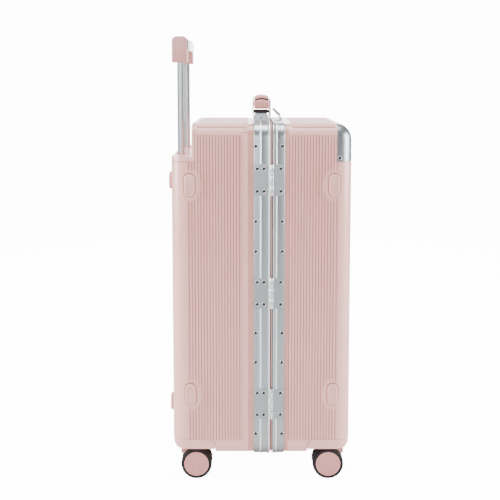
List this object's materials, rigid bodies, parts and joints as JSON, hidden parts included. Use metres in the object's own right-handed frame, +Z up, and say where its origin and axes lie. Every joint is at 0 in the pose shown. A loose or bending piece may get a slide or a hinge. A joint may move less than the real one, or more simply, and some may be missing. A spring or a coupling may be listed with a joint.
{
  "type": "hard shell suitcase",
  "caption": "Deep upright hard shell trunk on swivel casters: ribbed pink shells, aluminium seam frames, side hinges, flip latches, telescopic trolley in a notch.",
  "frame": {"origin": "middle of the bounding box on the floor under the wheels", "axes": "+Z up, +X towards the front shell, -Y towards the hinge side"},
  "size_m": [0.346, 0.4023, 0.8555],
  "materials": {
    "shell": "satin ribbed",
    "trim_plastic": "satin",
    "frame_metal": "satin anodised",
    "tube_metal": "satin drawn",
    "latch_metal": "satin",
    "hardware": "satin",
    "seal": "matte",
    "tyre": "matte",
    "lining": "matte",
    "button_plastic": "matte"
  },
  "bodies": {
    "rear": {"rear_shell": "shell", "rear_frame": "frame_metal", "frame_seal": "seal", "trolley_bezel": "trim_plastic", "trolley_guide": "hardware", "rear_lining": "lining", "wheel_housing_rear_near": "trim_plastic", "wheel_housing_rear_far": "trim_plastic", "side_foot_rear_upper": "trim_plastic", "side_foot_rear_lower": "trim_plastic", "back_foot_upper_near": "trim_plastic", "back_foot_upper_far": "trim_plastic", "back_foot_lower_near": "trim_plastic", "back_foot_lower_far": "trim_plastic", "hinge_rear_leaf_upper": "hardware", "hinge_rear_leaf_middle": "hardware", "hinge_rear_leaf_lower": "hardware", "top_handle_bracket_near": "hardware", "top_handle_bracket_far": "hardware", "side_handle_base": "hardware", "latch_catch_upper": "latch_metal", "latch_catch_lower": "latch_metal"},
    "front": {"front_shell": "shell", "front_frame": "frame_metal", "front_lining": "lining", "corner_guard_near": "frame_metal", "corner_guard_far": "frame_metal", "side_foot_front_upper": "trim_plastic", "side_foot_front_lower": "trim_plastic", "wheel_housing_front_near": "trim_plastic", "wheel_housing_front_far": "trim_plastic", "hinge_front_leaf_upper": "hardware", "hinge_front_leaf_middle": "hardware", "hinge_front_leaf_lower": "hardware", "latch_body_top": "latch_metal", "latch_body_upper": "latch_metal", "latch_body_lower": "latch_metal"},
    "latch_lever_top": {"latch_lever_top": "latch_metal"},
    "latch_lever_upper": {"latch_lever_upper": "latch_metal"},
    "latch_lever_lower": {"latch_lever_lower": "latch_metal"},
    "top_handle": {"top_handle": "trim_plastic"},
    "side_handle": {"side_handle": "trim_plastic"},
    "trolley_middle": {"trolley_middle_near": "tube_metal", "trolley_middle_far": "tube_metal"},
    "trolley_upper": {"trolley_upper_near": "tube_metal", "trolley_upper_far": "tube_metal", "trolley_grip": "trim_plastic"},
    "trolley_button": {"trolley_button": "button_plastic"},
    "caster_rear_near": {"caster_fork_rear_near": "trim_plastic"},
    "wheel_rear_near_a": {"wheel_rear_near_a": "tyre"},
    "wheel_rear_near_b": {"wheel_rear_near_b": "tyre"},
    "caster_rear_far": {"caster_fork_rear_far": "trim_plastic"},
    "wheel_rear_far_a": {"wheel_rear_far_a": "tyre"},
    "wheel_rear_far_b": {"wheel_rear_far_b": "tyre"},
    "caster_front_near": {"caster_fork_front_near": "trim_plastic"},
    "wheel_front_near_a": {"wheel_front_near_a": "tyre"},
    "wheel_front_near_b": {"wheel_front_near_b": "tyre"},
    "caster_front_far": {"caster_fork_front_far": "trim_plastic"},
    "wheel_front_far_a": {"wheel_front_far_a": "tyre"},
    "wheel_front_far_b": {"wheel_front_far_b": "tyre"}
  },
  "joints": [
    {"name": "lid_hinge", "type": "hinge", "parent": "rear", "child": "front", "pos_m": [0.02235, -0.1965, 0.37], "axis": [0, 0, -1], "range_deg": [0, 100]},
    {"name": "trolley_lower_slide", "type": "slide", "parent": "rear", "child": "trolley_middle", "axis": [0, 0, 1], "range_m": [0, 0.2]},
    {"name": "trolley_upper_slide", "type": "slide", "parent": "trolley_middle", "child": "trolley_upper", "axis": [0, 0, 1], "range_m": [-0.174, 0]},
    {"name": "trolley_button_press", "type": "slide", "parent": "trolley_upper", "child": "trolley_button", "axis": [0, 0, -1], "range_m": [0, 0.003], "stiffness_N_per_m": 800},
    {"name": "top_handle_lift", "type": "slide", "parent": "rear", "child": "top_handle", "axis": [0, 0, 1], "range_m": [0, 0.008]},
    {"name": "side_handle_pivot", "type": "hinge", "parent": "rear", "child": "side_handle", "pos_m": [0.0025, 0.1963, 0.37], "axis": [0, 0, -1], "range_deg": [0, 95]},
    {"name": "latch_top_pivot", "type": "hinge", "parent": "front", "child": "latch_lever_top", "pos_m": [0.043, -0.003, 0.6941], "axis": [0, 1, 0], "range_deg": [-45, 55]},
    {"name": "latch_upper_pivot", "type": "hinge", "parent": "front", "child": "latch_lever_upper", "pos_m": [0.043, 0.1931, 0.52], "axis": [0, 0, -1], "range_deg": [0, 100]},
    {"name": "latch_lower_pivot", "type": "hinge", "parent": "front", "child": "latch_lever_lower", "pos_m": [0.043, 0.1931, 0.22], "axis": [0, 0, -1], "range_deg": [0, 100]},
    {"name": "swivel_rear_near", "type": "hinge", "parent": "rear", "child": "caster_rear_near", "pos_m": [-0.1345, -0.157, 0.064], "axis": [0, 0, 1], "continuous": true},
    {"name": "spin_rear_near_a", "type": "hinge", "parent": "caster_rear_near", "child": "wheel_rear_near_a", "pos_m": [-0.1225, -0.171, 0.03], "axis": [0, 1, 0], "continuous": true},
    {"name": "spin_rear_near_b", "type": "hinge", "parent": "caster_rear_near", "child": "wheel_rear_near_b", "pos_m": [-0.1225, -0.143, 0.03], "axis": [0, 1, 0], "continuous": true},
    {"name": "swivel_rear_far", "type": "hinge", "parent": "rear", "child": "caster_rear_far", "pos_m": [-0.1345, 0.151, 0.064], "axis": [0, 0, 1], "continuous": true},
    {"name": "spin_rear_far_a", "type": "hinge", "parent": "caster_rear_far", "child": "wheel_rear_far_a", "pos_m": [-0.1225, 0.137, 0.03], "axis": [0, 1, 0], "continuous": true},
    {"name": "spin_rear_far_b", "type": "hinge", "parent": "caster_rear_far", "child": "wheel_rear_far_b", "pos_m": [-0.1225, 0.165, 0.03], "axis": [0, 1, 0], "continuous": true},
    {"name": "swivel_front_near", "type": "hinge", "parent": "front", "child": "caster_front_near", "pos_m": [0.145, -0.157, 0.064], "axis": [0, 0, 1], "continuous": true},
    {"name": "spin_front_near_a", "type": "hinge", "parent": "caster_front_near", "child": "wheel_front_near_a", "pos_m": [0.133, -0.171, 0.03], "axis": [0, 1, 0], "continuous": true},
    {"name": "spin_front_near_b", "type": "hinge", "parent": "caster_front_near", "child": "wheel_front_near_b", "pos_m": [0.133, -0.143, 0.03], "axis": [0, 1, 0], "continuous": true},
    {"name": "swivel_front_far", "type": "hinge", "parent": "front", "child": "caster_front_far", "pos_m": [0.145, 0.151, 0.064], "axis": [0, 0, 1], "continuous": true},
    {"name": "spin_front_far_a", "type": "hinge", "parent": "caster_front_far", "child": "wheel_front_far_a", "pos_m": [0.133, 0.137, 0.03], "axis": [0, 1, 0], "continuous": true},
    {"name": "spin_front_far_b", "type": "hinge", "parent": "caster_front_far", "child": "wheel_front_far_b", "pos_m": [0.133, 0.165, 0.03], "axis": [0, 1, 0], "continuous": true}
  ]
}
